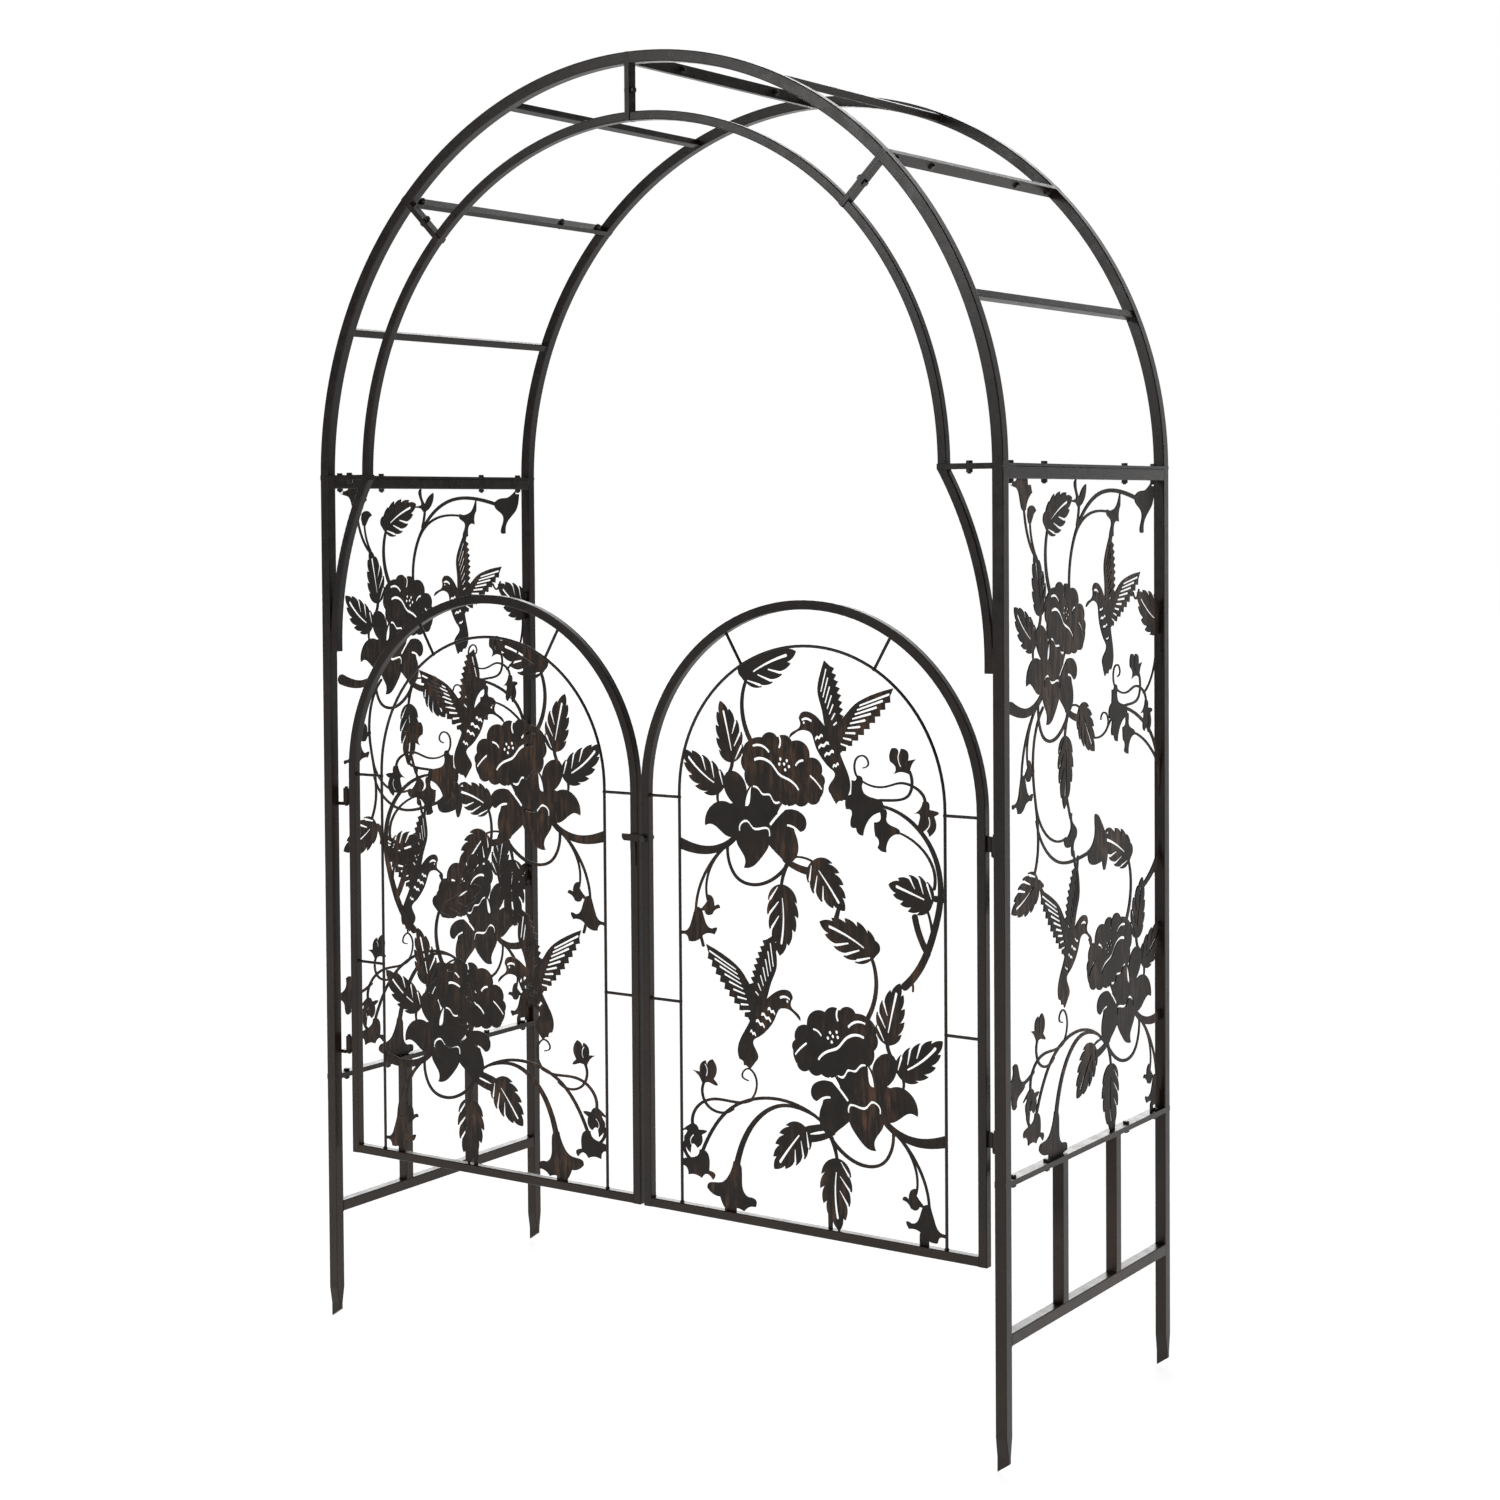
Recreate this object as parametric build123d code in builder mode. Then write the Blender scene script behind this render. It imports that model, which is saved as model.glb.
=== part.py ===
from build123d import *
import math
import os

os.makedirs("parts", exist_ok=True)

# ---------------------------------------------------------------- driving sizes (mm)
width = 1360.0          # over the two side panels
depth = 590.0           # front face to back face
leg_h = 434.0           # spike tips up to the panel joint
panel_h = 1070.0        # panel joint up to the spring line of the arch
tube = 19.0             # square tube of posts, outer arch and back arch
wall = 1.5
corner = 1.6            # outside corner radius of the tube
thin_tube = 15.0        # inner arch, braces and gate frames
thin_wall = 1.2
bar_tube = 13.0         # crossbars of the arch
flat = 4.4              # flat bars where sections are bolted together
inner_drop = 97.0       # outer arch radius less inner arch outside radius
sheet = 2.0             # laser-cut scroll sheet
motif_r = 245.0         # rod arch radius, gate height, panel depth and panel height
motif_gate = 1000.0     # that the scroll motifs are drawn to
motif_depth = 590.0
motif_panel = 1070.0
motif_rise = 134.0      # gate bottom up to the zero line of the gate motif
seat = 0.05             # clearance round the welded scroll sheets

gate_gap = 7.0          # between the two gate leaves
hinge_gap = 23.0        # between post and gate stile
gate_bottom = 300.0
gate_h = 1000.0
gate_back = 26.0        # gate mid plane behind the front face
rod = 5.0               # inner rod arch and tie rods
rod_inset = 64.75       # stile centre line to rod centre line
low_tie = 343.0         # lower tie rods above the gate bottom

bolt_d = 6.0
bolt_clear = 0.6        # hole larger than the bolt
head_af = 10.0
head_h = 4.2
nut_h = 5.0
pin_d = 6.0
pin_fit = 0.05          # radial running clearance of pins and pivot
face_gap = 0.3          # clearance between turning faces
eye_wall = 2.6
eye_h = 24.0

# ---------------------------------------------------------------- derived sizes
spring = leg_h + panel_h
half = width / 2
arch_r = half - tube / 2
inner_r = half - inner_drop + 0.5 - thin_tube / 2
post_x = half - tube / 2
joint_z = leg_h
link_in = inner_r - thin_tube / 2
bolt_pitch = (depth / 2 - 41.0, depth / 2 - 152.0)
bolt_rows = [depth / 2 - p for p in bolt_pitch] + [depth / 2 + p for p in reversed(bolt_pitch)]
mid_bolt = (link_in + half - tube) / 2 + 4

leaf_w = half - tube - hinge_gap - gate_gap / 2
leaf_x = gate_gap / 2 + leaf_w / 2
leaf_r = leaf_w / 2 - thin_tube / 2
leaf_spring = gate_bottom + gate_h - leaf_w / 2
rod_r = leaf_r - rod_inset
axis_x = half - tube - hinge_gap / 2 + 0.5
axis_y = gate_back
hinge_rows = (joint_z + 60.0, joint_z + 505.0)
latch_z = joint_z + 472.0
latch_x = gate_gap / 2 + thin_tube / 2
SIDES = (("left", -1), ("right", 1))


def hollow(origin, along, across, length, size, thick, radius=corner):
    """Straight square tube starting at origin and running along a direction."""
    with BuildPart() as piece:
        with BuildSketch(Plane(origin=origin, x_dir=across, z_dir=along)):
            RectangleRounded(size, size, radius)
            RectangleRounded(size - 2 * thick, size - 2 * thick, 0.4, mode=Mode.SUBTRACT)
        extrude(amount=length)
    return piece.part


def bent(radius, centre, y, start, sweep, size, thick):
    """Square tube bent to an arc in the XZ plane, angles from +X towards +Z."""
    a = math.radians(start)
    out = (math.cos(a), 0, math.sin(a))
    at = (centre[0] + radius * out[0], y, centre[1] + radius * out[2])
    with BuildPart() as piece:
        with BuildSketch(Plane(origin=at, x_dir=out, z_dir=(-math.sin(a), 0, math.cos(a)))):
            RectangleRounded(size, size, corner)
            RectangleRounded(size - 2 * thick, size - 2 * thick, 0.4, mode=Mode.SUBTRACT)
        revolve(axis=Axis((centre[0], 0, centre[1]), (0, -1, 0)), revolution_arc=sweep)
    return piece.part


def radial_plane(angle):
    """Plane through the arch axis: local x is radial, local y runs to the back."""
    a = math.radians(angle)
    return Plane(origin=(0, 0, spring), x_dir=(math.cos(a), 0, math.sin(a)),
                 z_dir=(-math.sin(a), 0, math.cos(a)))


def save(piece, node):
    """Centre a piece front to back, name it and write its file."""
    with BuildPart() as centred:
        with Locations((0, -depth / 2, 0)):
            add(piece.part)
    centred.part.label = node
    export_step(centred.part, "parts/" + node + ".step")


# ---------------------------------------------------------------- side panels
bolt_hole = (bolt_d + bolt_clear) / 2
for word, s in SIDES:
    with BuildPart() as post_front:
        add(hollow((s * post_x, tube / 2, joint_z + flat), (0, 0, 1), (1, 0, 0),
                   panel_h - 2 * flat, tube, wall))
    save(post_front, "post_front_" + word)
    with BuildPart() as post_back:
        add(hollow((s * post_x, depth - tube / 2, joint_z + flat), (0, 0, 1), (1, 0, 0),
                   panel_h - flat, tube, wall))
    save(post_back, "post_back_" + word)
    with BuildPart() as top_rail:
        add(hollow((s * post_x, tube, spring - tube / 2), (0, 1, 0), (1, 0, 0),
                   depth - 2 * tube, tube, wall))
        with Locations(*[(s * post_x, y, spring - tube / 2) for y in bolt_rows]):
            Cylinder(bolt_hole, 2 * tube, mode=Mode.SUBTRACT)
    save(top_rail, "side_rail_" + word)
    with BuildPart() as bottom_bar:
        with BuildSketch(Plane.XY.offset(joint_z)):
            with Locations((s * post_x, depth / 2)):
                Rectangle(tube, depth)
            with Locations(*[(s * post_x, y) for y in bolt_rows]):
                Circle(bolt_hole, mode=Mode.SUBTRACT)
        extrude(amount=flat)
    save(bottom_bar, "side_bar_" + word)

    # link bar at the spring line and the curved brace under it
    with BuildPart() as link:
        with BuildSketch(Plane.XY.offset(spring - flat)):
            with Locations((s * (link_in + half) / 2, tube / 2)):
                Rectangle(half - link_in, tube)
            with Locations((s * mid_bolt, tube / 2)):
                Circle(bolt_hole, mode=Mode.SUBTRACT)
        extrude(amount=flat)
    save(link, "link_bar_" + word)

    drop = 290.0
    lean = half - tube - thin_tube / 2 - inner_r
    brace_r = (drop ** 2 + lean ** 2) / (2 * lean)
    foot_z = spring - flat - drop
    foot_x = inner_r + lean
    with BuildPart() as brace:
        turn = math.degrees(math.asin(drop / brace_r))
        centre = (s * (foot_x - brace_r), foot_z)
        begin = 0 if s > 0 else 180 - turn - 2
        add(bent(brace_r, centre, tube / 2, begin, turn + 2, thin_tube, thin_wall))
        add(hollow((s * foot_x, tube / 2, foot_z - 14), (0, 0, 1), (1, 0, 0), 14,
                   thin_tube, thin_wall))
        with Locations((s * inner_r, tube / 2, spring - flat + 20)):
            Box(120, 40, 40, mode=Mode.SUBTRACT)
    save(brace, "brace_" + word)

# ---------------------------------------------------------------- leg frames
spike = 54.0
leg_rail_z = 199.0
for word, s in SIDES:
    for place, y in (("front", tube / 2), ("back", depth - tube / 2)):
        with BuildPart() as leg:
            add(hollow((s * post_x, y, spike), (0, 0, 1), (1, 0, 0),
                       leg_h - flat - spike, tube, wall))
            with BuildSketch(Plane.XY.offset(spike)):
                with Locations((s * post_x, y)):
                    RectangleRounded(tube, tube, corner)
            with BuildSketch(Plane.XY.offset(spike * 0.45)):
                with Locations((s * post_x, y)):
                    RectangleRounded(tube + 1, tube * 0.42, corner)
            loft()
            with BuildSketch(Plane.XY):
                with Locations((s * post_x, y)):
                    RectangleRounded(tube + 1, tube * 0.42, corner)
            extrude(amount=spike * 0.45)
            with BuildSketch(Plane.XZ.offset(-y - tube)):
                with BuildLine():
                    x0 = s * post_x - tube / 2 - 1
                    Polyline((x0, -1), (x0, 0), (x0 + tube + 2, 15), (x0 + tube + 2, -1), close=True)
                make_face()
            extrude(amount=2 * tube, mode=Mode.SUBTRACT)
        save(leg, "leg_" + place + "_" + word)
    with BuildPart() as leg_top:
        with BuildSketch(Plane.XY.offset(joint_z - flat)):
            with Locations((s * post_x, depth / 2)):
                Rectangle(tube, depth)
            with Locations(*[(s * post_x, y) for y in bolt_rows]):
                Circle(bolt_hole, mode=Mode.SUBTRACT)
        extrude(amount=flat)
    save(leg_top, "leg_bar_" + word)
    with BuildPart() as leg_rail:
        add(hollow((s * post_x, tube, leg_rail_z), (0, 1, 0), (1, 0, 0),
                   depth - 2 * tube, tube, wall))
    save(leg_rail, "leg_rail_" + word)
    with BuildPart() as balusters:
        for k in (1, 2):
            y = tube / 2 + k * (depth - tube) / 3
            add(hollow((s * post_x, y, leg_rail_z + tube / 2), (0, 0, 1), (1, 0, 0),
                       joint_z - flat - leg_rail_z - tube / 2, tube, wall))
    save(balusters, "leg_balusters_" + word)

# ---------------------------------------------------------------- arch, four sections
for k, word in enumerate(("right_low", "right_high", "left_high", "left_low")):
    a0 = 45.0 * k
    for name, radius, y, size, thick in (
            ("arch_outer_", arch_r, tube / 2, tube, wall),
            ("arch_inner_", inner_r, tube / 2, thin_tube, thin_wall),
            ("arch_back_", arch_r, depth - tube / 2, tube, wall)):
        with BuildPart() as arc:
            add(bent(radius, (0, spring), y, a0, 45.0, size, thick))
            for a in (a0, a0 + 45.0):
                with Locations(Location(radial_plane(a))):
                    with Locations((radius, y, 0)):
                        Box(3 * size, 3 * size, 2 * flat, mode=Mode.SUBTRACT)
        save(arc, name + word)
    with BuildPart() as bars:
        for a, way in ((a0, 1), (a0 + 45.0, -1)):
            with BuildSketch(radial_plane(a)):
                with Locations((arch_r, depth / 2)):
                    Rectangle(tube, depth)
                with Locations(((link_in + half) / 2, tube / 2)):
                    Rectangle(half - link_in, tube)
                with Locations(*[(arch_r, y) for y in bolt_rows], (mid_bolt, tube / 2)):
                    Circle(bolt_hole, mode=Mode.SUBTRACT)
            extrude(amount=way * flat)
        a = math.radians(a0 + 22.5)
        add(hollow((arch_r * math.cos(a), tube, spring + arch_r * math.sin(a)), (0, 1, 0),
                   (math.cos(a), 0, math.sin(a)), depth - 2 * tube, bar_tube, thin_wall))
    save(bars, "arch_bars_" + word)


# ---------------------------------------------------------------- bolts and nuts
def bolt(grip):
    """Hex bolt hanging down from z = 0, the nut seat is grip below."""
    with BuildPart() as b:
        with BuildSketch():
            RegularPolygon(head_af / 2, 6, major_radius=False)
        extrude(amount=head_h)
        chamfer(b.edges().group_by(Axis.Z)[-1], 0.6)
        with BuildSketch():
            Circle(bolt_d / 2)
        extrude(amount=-(grip + nut_h + 2.0))
        chamfer(b.edges().group_by(Axis.Z)[0], 0.6)
    return b.part


def nut(grip):
    with BuildPart() as n:
        with BuildSketch(Plane.XY.offset(-grip - nut_h)):
            RegularPolygon(head_af / 2, 6, major_radius=False)
            Circle(bolt_d / 2 + 0.05, mode=Mode.SUBTRACT)
        extrude(amount=nut_h)
    return n.part


def bolt_spots():
    """Frames of all the short bolts: local z points from the nut to the head."""
    spots = []
    for a in (45.0, 90.0, 135.0):
        for r, y in [(arch_r, y) for y in bolt_rows] + [(mid_bolt, tube / 2)]:
            p = radial_plane(a)
            q = p.from_local_coords((r, y, flat)) if a > 45 else p.from_local_coords((r, y, -flat))
            z = p.z_dir if a > 45 else -p.z_dir
            spots.append(Location(Plane(origin=q, x_dir=p.x_dir, z_dir=z)))
    for _, s in SIDES:
        spots.append(Location((s * mid_bolt, tube / 2, spring + flat)))
        for y in bolt_rows:
            spots.append(Location((s * post_x, y, joint_z + flat)))
    return spots


long_spots = [Location((s * post_x, y, spring + flat)) for _, s in SIDES for y in bolt_rows]
with BuildPart() as short_bolts:
    with Locations(*bolt_spots()):
        add(bolt(2 * flat))
save(short_bolts, "joint_bolts")
with BuildPart() as long_bolts:
    with Locations(*long_spots):
        add(bolt(tube + flat))
save(long_bolts, "rail_bolts")
with BuildPart() as nuts:
    with Locations(*bolt_spots()):
        add(nut(2 * flat))
    with Locations(*long_spots):
        add(nut(tube + flat))
save(nuts, "joint_nuts")


# ---------------------------------------------------------------- scroll art
# Local art frame: x across, second value up. A place is (dx, dz, turn, across),
# across is the stretch along x and its sign mirrors the shape. The whole motif
# follows its frame: stretch is the frame's size over the size it is drawn to.
HOME = (0.0, 0.0, 0.0, 1.0)
stretch = (rod_r / motif_r, gate_h / motif_gate)


def placed(points, at):
    dx, dz, turn, flip = at
    c = math.cos(math.radians(turn))
    d = math.sin(math.radians(turn))
    kx, kz = stretch
    return [(kx * (dx + flip * (x * c - z * d)), kz * (dz + x * d + z * c)) for x, z in points]


def outline(runs, at=HOME):
    """Closed shape: every run is a smooth line, runs meet at sharp corners."""
    runs = [placed(run, at) for run in runs]
    with BuildSketch() as s:
        with BuildLine():
            for k, run in enumerate(runs):
                path = run + [runs[(k + 1) % len(runs)][0]]
                if len(path) == 2:
                    Line(path[0], path[1])
                else:
                    Spline(*path)
        make_face()
    return s.sketch


def scallop(notches, bulge, at=HOME):
    """Petal edge: arcs that swell outwards between the notch points."""
    pts = placed(notches, at)
    side = math.copysign(1, at[3])
    n = len(pts)
    with BuildSketch() as s:
        with BuildLine():
            for k in range(n):
                p, q = pts[k], pts[(k + 1) % n]
                b = bulge[k % len(bulge)] * side
                mid = ((p[0] + q[0]) / 2 - (q[1] - p[1]) * b, (p[1] + q[1]) / 2 + (q[0] - p[0]) * b)
                if b:
                    ThreePointArc(p, mid, q)
                else:
                    Line(p, q)
        make_face()
    return s.sketch


def stroke(points, w0, w1, at=HOME):
    """Stem or slit: a band of changing width with round ends."""
    p = placed(points, at)
    n = len(p)
    one, two = [], []
    for k in range(n):
        a, b = p[max(k - 1, 0)], p[min(k + 1, n - 1)]
        size = math.hypot(b[0] - a[0], b[1] - a[1])
        nx, nz = -(b[1] - a[1]) / size, (b[0] - a[0]) / size
        w = (w0 + (w1 - w0) * k / (n - 1)) / 2
        one.append((p[k][0] + nx * w, p[k][1] + nz * w))
        two.append((p[k][0] - nx * w, p[k][1] - nz * w))
        if k == 0:
            start = (p[k][0] - nz * w, p[k][1] + nx * w)
        end = (p[k][0] + nz * w, p[k][1] - nx * w)
    with BuildSketch() as s:
        with BuildLine():
            if n == 2:
                Line(one[0], one[1])
                Line(two[0], two[1])
            else:
                Spline(*one)
                Spline(*two)
            ThreePointArc(one[0], start, two[0])
            ThreePointArc(one[-1], end, two[-1])
        make_face()
    return s.sketch


def leaf(base, tip, half_width, bend=0.0, at=HOME):
    """Toothed leaf with a slit for the mid rib and side slits; returns body, slits."""
    length = math.hypot(tip[0] - base[0], tip[1] - base[1])
    ux, uz = (tip[0] - base[0]) / length, (tip[1] - base[1]) / length
    lobes = 5

    def spot(t, v):
        v = v + bend * 4 * t * (1 - t)
        return (base[0] + ux * t * length - uz * v, base[1] + uz * t * length + ux * v)

    def swell(t):
        return half_width * math.sin(math.pi * min(1.0, t + 0.04) ** 0.72) ** 0.75

    runs = []
    for side in (1, -1):
        part = []
        for k in range(lobes):
            t0, t1 = k / lobes, (k + 1) / lobes
            notch = spot(t0, side * swell(t0) * (0.72 if k else 0.0))
            peak = spot(t1 + 0.045, side * swell(t1)) if k < lobes - 1 else spot(1.0, 0.0)
            b = side * (0.2 if k == 0 else 0.12)
            mid = ((notch[0] + peak[0]) / 2 - (peak[1] - notch[1]) * b,
                   (notch[1] + peak[1]) / 2 + (peak[0] - notch[0]) * b)
            part.append((notch, mid, peak))
        runs.append(part)
    with BuildSketch() as s:
        with BuildLine():
            for part in runs:
                for k, (a, m, b) in enumerate(part):
                    pa, pm, pb = placed([a, m, b], at)
                    ThreePointArc(pa, pm, pb)
                    if k < lobes - 1:
                        Line(pb, placed([part[k + 1][0]], at)[0])
        make_face()
    rib = stroke([spot(0.2, 0), spot(0.5, half_width * 0.05), spot(0.82, 0)], 2.6, 4.8, at)
    cuts = [rib]
    for k in (1, 2, 3):
        t = k / lobes
        cuts.append(stroke([spot(t - 0.15, -half_width * 0.26), spot(t + 0.02, -swell(t) * 0.84)],
                           2.2, 4.4, at))
    return [s.sketch], cuts


def flower(at):
    """Hibiscus over a star blossom, with curled petal slits and stamen dots."""
    body = [
        scallop([(-121, 617), (-110, 640), (-84, 647), (-56, 648), (-29, 643), (4, 619),
                 (26, 594), (30, 577), (23, 556), (1, 549), (-22, 545), (-50, 546),
                 (-70, 530), (-108, 566), (-117, 592)],
                [0.16, 0.1, 0.3, 0.26, 0.3, 0.3, 0.22, 0.1, 0.3, 0.25, 0.18, 0.1, 0.0, 0.15, 0.2], at),
        outline([[(-146, 538), (-172, 539), (-188, 526)], [(-194, 500), (-178, 502), (-160, 490)],
                 [(-132, 489), (-110, 500), (-120, 530)]], at),
        outline([[(-152, 588), (-136, 590), (-119, 576), (-115, 552), (-122, 536)],
                 [(-138, 538), (-152, 552), (-158, 572)]], at),
        outline([[(-124, 536), (-108, 568)], [(-104, 572), (-70, 545)], [(-46, 545), (-66, 505)],
                 [(-70, 480), (-100, 470), (-131, 485)]], at),
        outline([[(-131, 492), (-131, 472), (-119, 455)], [(-120, 437), (-108, 438), (-88, 454),
                 (-73, 475)], [(-70, 500), (-100, 512)]], at),
        outline([[(-72, 512), (-52, 530), (-22, 535), (-4, 522), (-4, 508)],
                 [(-13, 501), (-24, 507)], [(-20, 490), (-21, 462)], [(-40, 447), (-60, 466),
                 (-76, 482)]], at),
    ]
    cuts = [
        outline([[(-117.5, 536), (-112, 558)], [(-102, 572), (-106, 560), (-113, 536)]], at),
        stroke([(-128, 497), (-122, 510), (-114, 512), (-103, 502), (-86, 502), (-76, 503),
                (-71, 492)], 3.6, 3.6, at),
        stroke([(-69, 510), (-56, 524), (-38, 540)], 4.8, 4.8, at),
        stroke([(-37, 510), (-27, 508), (-18, 502)], 3.6, 4.4, at),
        stroke([(-98, 611), (-80, 612.5), (-66, 605), (-51, 589), (-36, 583), (-24, 576), (-17, 568)],
               4.6, 4.0, at),
        stroke([(-101, 633), (-86, 634), (-72, 625)], 3.6, 4.2, at),
        stroke([(-55, 654), (-50, 643), (-52, 633)], 3.8, 4.2, at),
        stroke([(-21, 606), (-15, 612), (-8, 614)], 3.8, 3.6, at),
        stroke([(6, 590), (17, 581), (26, 571)], 3.6, 3.2, at),
        stroke([(-101, 568), (-91, 564), (-83, 556.5), (-71, 556.5), (-64, 547), (-53, 545.5)],
               3.4, 3.6, at),
    ]
    for x, z in ((-50, 614), (-38, 612), (-52, 606), (-43, 606.5), (-34, 603), (-41, 597.5)):
        with BuildSketch() as dot:
            with Locations(placed([(x, z)], at)[0]):
                Circle(2.7)
        cuts.append(dot.sketch)
    return body, cuts


def blossom_group(at):
    """Flower, its five leaves, the side branch and two hanging bells."""
    body, cuts = flower(at)
    for base, tip, w, bend in (((-119, 741), (-20, 785), 31, 2), ((-141, 604), (-164, 702), 25, -4),
                               ((-160, 560), (-238, 621), 27, 4), ((10, 458), (67, 383), 30, -2),
                               ((-50, 416), (-53, 302), 29, 4)):
        b, c = leaf(base, tip, w, bend, at)
        body += b
        cuts += c
    body += [
        stroke([(-100, 632), (-118, 668), (-122, 704), (-112, 740)], 8, 5, at),
        stroke([(-252, 471), (-225, 463), (-195, 460), (-163, 467), (-132, 490)], 19, 9, at),
        stroke([(-150, 476), (-147, 440), (-132, 419), (-103, 411), (-70, 420), (-36, 450)], 4.5, 6, at),
        stroke([(-42, 455), (-18, 444), (6, 440)], 9, 13, at),
        stroke([(-32, 459), (-8, 461), (16, 452)], 3.4, 3.4, at),
        stroke([(-40, 446), (-46, 430), (-50, 412)], 7, 4.5, at),
        stroke([(-145, 478), (-185, 438), (-206, 400), (-214, 360)], 5, 4, at),
        stroke([(-160, 464), (-186, 430), (-193, 405), (-191, 380)], 4, 3.2, at),
        stroke([(-141, 612), (-146, 590), (-158, 578)], 6, 5, at),
        stroke([(-117, 752), (-112, 744)], 24, 20, at),
        stroke([(-165, 562), (-170, 550), (-168, 536)], 5, 3.4, at),
        stroke([(-165, 575), (-150, 566)], 12, 14, at),
        outline([[(-215, 366), (-222, 345), (-236, 326), (-248, 324)],
                 [(-246, 318), (-232, 319)], [(-228, 310), (-214, 311)], [(-205, 317), (-198, 323)],
                 [(-178, 325), (-174, 336)], [(-182, 334), (-196, 344), (-207, 366)]], at),
        outline([[(-193, 388), (-196, 372), (-206, 361)], [(-197, 362), (-193, 356)],
                 [(-182, 357), (-178, 363)], [(-167, 368), (-169, 373)], [(-178, 370), (-187, 388)]], at),
    ]
    return body, cuts


def bird(spot):
    """Hovering hummingbird with slit wings, banded breast and fan tail, placed by its back."""
    dx, dz, turn, across = spot
    c, d = math.cos(math.radians(turn)), math.sin(math.radians(turn))
    px, pz = 45.0, 650.0
    at = (dx - across * (px * c - pz * d), dz - px * d - pz * c, turn, across)
    body = [
        outline([[(-33, 648), (-27, 658), (-16, 664)],
                 [(-15, 680), (-6, 691), (6, 690), (22, 680)],
                 [(38, 663), (52, 668), (64, 655)],
                 [(60, 628), (72, 602), (78, 582)], [(73, 562), (66, 560)], [(64, 554), (58, 554)],
                 [(53, 549), (48, 556)], [(43, 564), (42, 580), (51, 594)],
                 [(46, 602), (28, 618), (14, 642), (7, 658)], [(0, 661), (-12, 661), (-24, 655)]], at),
    ]
    teeth = 9
    for tail, tip, lead in (
            ((60, 632), (150, 720), [(156, 733), (112, 719), (84, 703), (64, 682), (44, 660)]),
            ((61, 668), (42, 764), [(32, 772), (25, 752), (20, 722), (28, 694), (38, 660)])):
        edge = []
        for k in range(teeth + 1):
            f = k / teeth
            bow = 4.6 * math.sin(math.pi * f)
            nx, nz = tip[1] - tail[1], -(tip[0] - tail[0])
            size = math.hypot(nx, nz)
            base = (tail[0] + (tip[0] - tail[0]) * f + nx / size * bow,
                    tail[1] + (tip[1] - tail[1]) * f + nz / size * bow)
            edge.append([base])
            if k < teeth:
                g = (k + 0.55) / teeth
                out = 6.4 + 5.2 * math.sin(math.pi * g)
                edge.append([(tail[0] + (tip[0] - tail[0]) * g + nx / size * out,
                              tail[1] + (tip[1] - tail[1]) * g + nz / size * out)])
        body.append(outline(edge + [lead], at))
    cuts = []
    for k in range(9):
        f = k / 8
        a = (62 + 34 * f, 643 + 61 * f ** 0.9)
        b = (74 + 74 * f ** 1.25, 640 + 83 * f)
        cuts.append(stroke([a, b], 2.6, 3.6, at))
    for k in range(7):
        f = k / 6
        a = (49 - 23 * f, 672 + 52 * f)
        b = (54 - 19 * f, 676 + 82 * f)
        cuts.append(stroke([a, b], 2.8, 3.2, at))
    cuts.append(stroke([(-9, 678), (-1, 680), (7, 677)], 3.4, 4.2, at))
    with BuildSketch() as eye:
        with Locations(placed([(-6, 673.5)], at)[0]):
            Circle(2.2)
    cuts.append(eye.sketch)
    for x, z, run in ((15, 646, 15), (21, 633, 20), (32, 621, 18), (47, 604, 12)):
        zig = [(x + run * j / 4, z + run * 0.42 * j / 4 + (2.2 if j % 2 else -1.2)) for j in range(5)]
        cuts.append(outline([[p] for p in zig] + [[(p[0] - 1.0, p[1] + 5.0)] for p in reversed(zig)], at))
    return body, cuts


def bell_group(at):
    """Two trumpets, two buds, their stems and a curled tendril."""
    body = [
        outline([[(90, 596), (98, 594)], [(99, 580), (109, 565), (134, 558)], [(135, 541), (120, 536),
                 (106, 520)], [(101, 503), (92, 506)], [(89, 514), (82, 514)], [(80, 530), (80, 541)],
                 [(71, 542), (72, 560)], [(80, 566), (81, 578)], [(81, 588), (88, 588)]], at),
        outline([[(130, 546), (141, 546)], [(142, 532), (150, 522), (166, 514)], [(166, 509), (152, 505),
                 (143, 492)], [(142, 480), (134, 481)], [(127, 486), (129, 498)], [(123, 504), (121, 520)],
                 [(121, 525), (130, 527)]], at),
        outline([[(153, 641), (160, 641)], [(164, 626)], [(169, 641), (179, 638)], [(181, 623)],
                 [(195, 626), (187, 616)], [(184, 602), (170, 605)], [(156, 601), (160, 609)],
                 [(150, 620), (149, 632)]], at),
        outline([[(207, 562), (215, 562)], [(218, 550), (234, 545)], [(226, 540), (229, 522)],
                 [(218, 509), (212, 518)], [(204, 512), (199, 526), (202, 540)],
                 [(189, 542), (200, 548)]], at),
        stroke([(128, 559), (158, 561), (182, 570), (188, 586), (184, 606)], 4.2, 4.6, at),
        stroke([(96, 590), (112, 582), (142, 581), (168, 588), (190, 584), (206, 573), (211, 556)],
               2.6, 5, at),
        stroke([(93, 592), (86, 610), (92, 624), (104, 626), (111, 616), (102, 608)], 3.2, 2.4, at),
    ]
    cuts = [stroke([(166, 636), (164, 624), (168, 614)], 2.4, 2.4, at),
            stroke([(217, 538), (218, 526), (212, 518)], 2.4, 2.4, at)]
    return body, cuts


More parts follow.
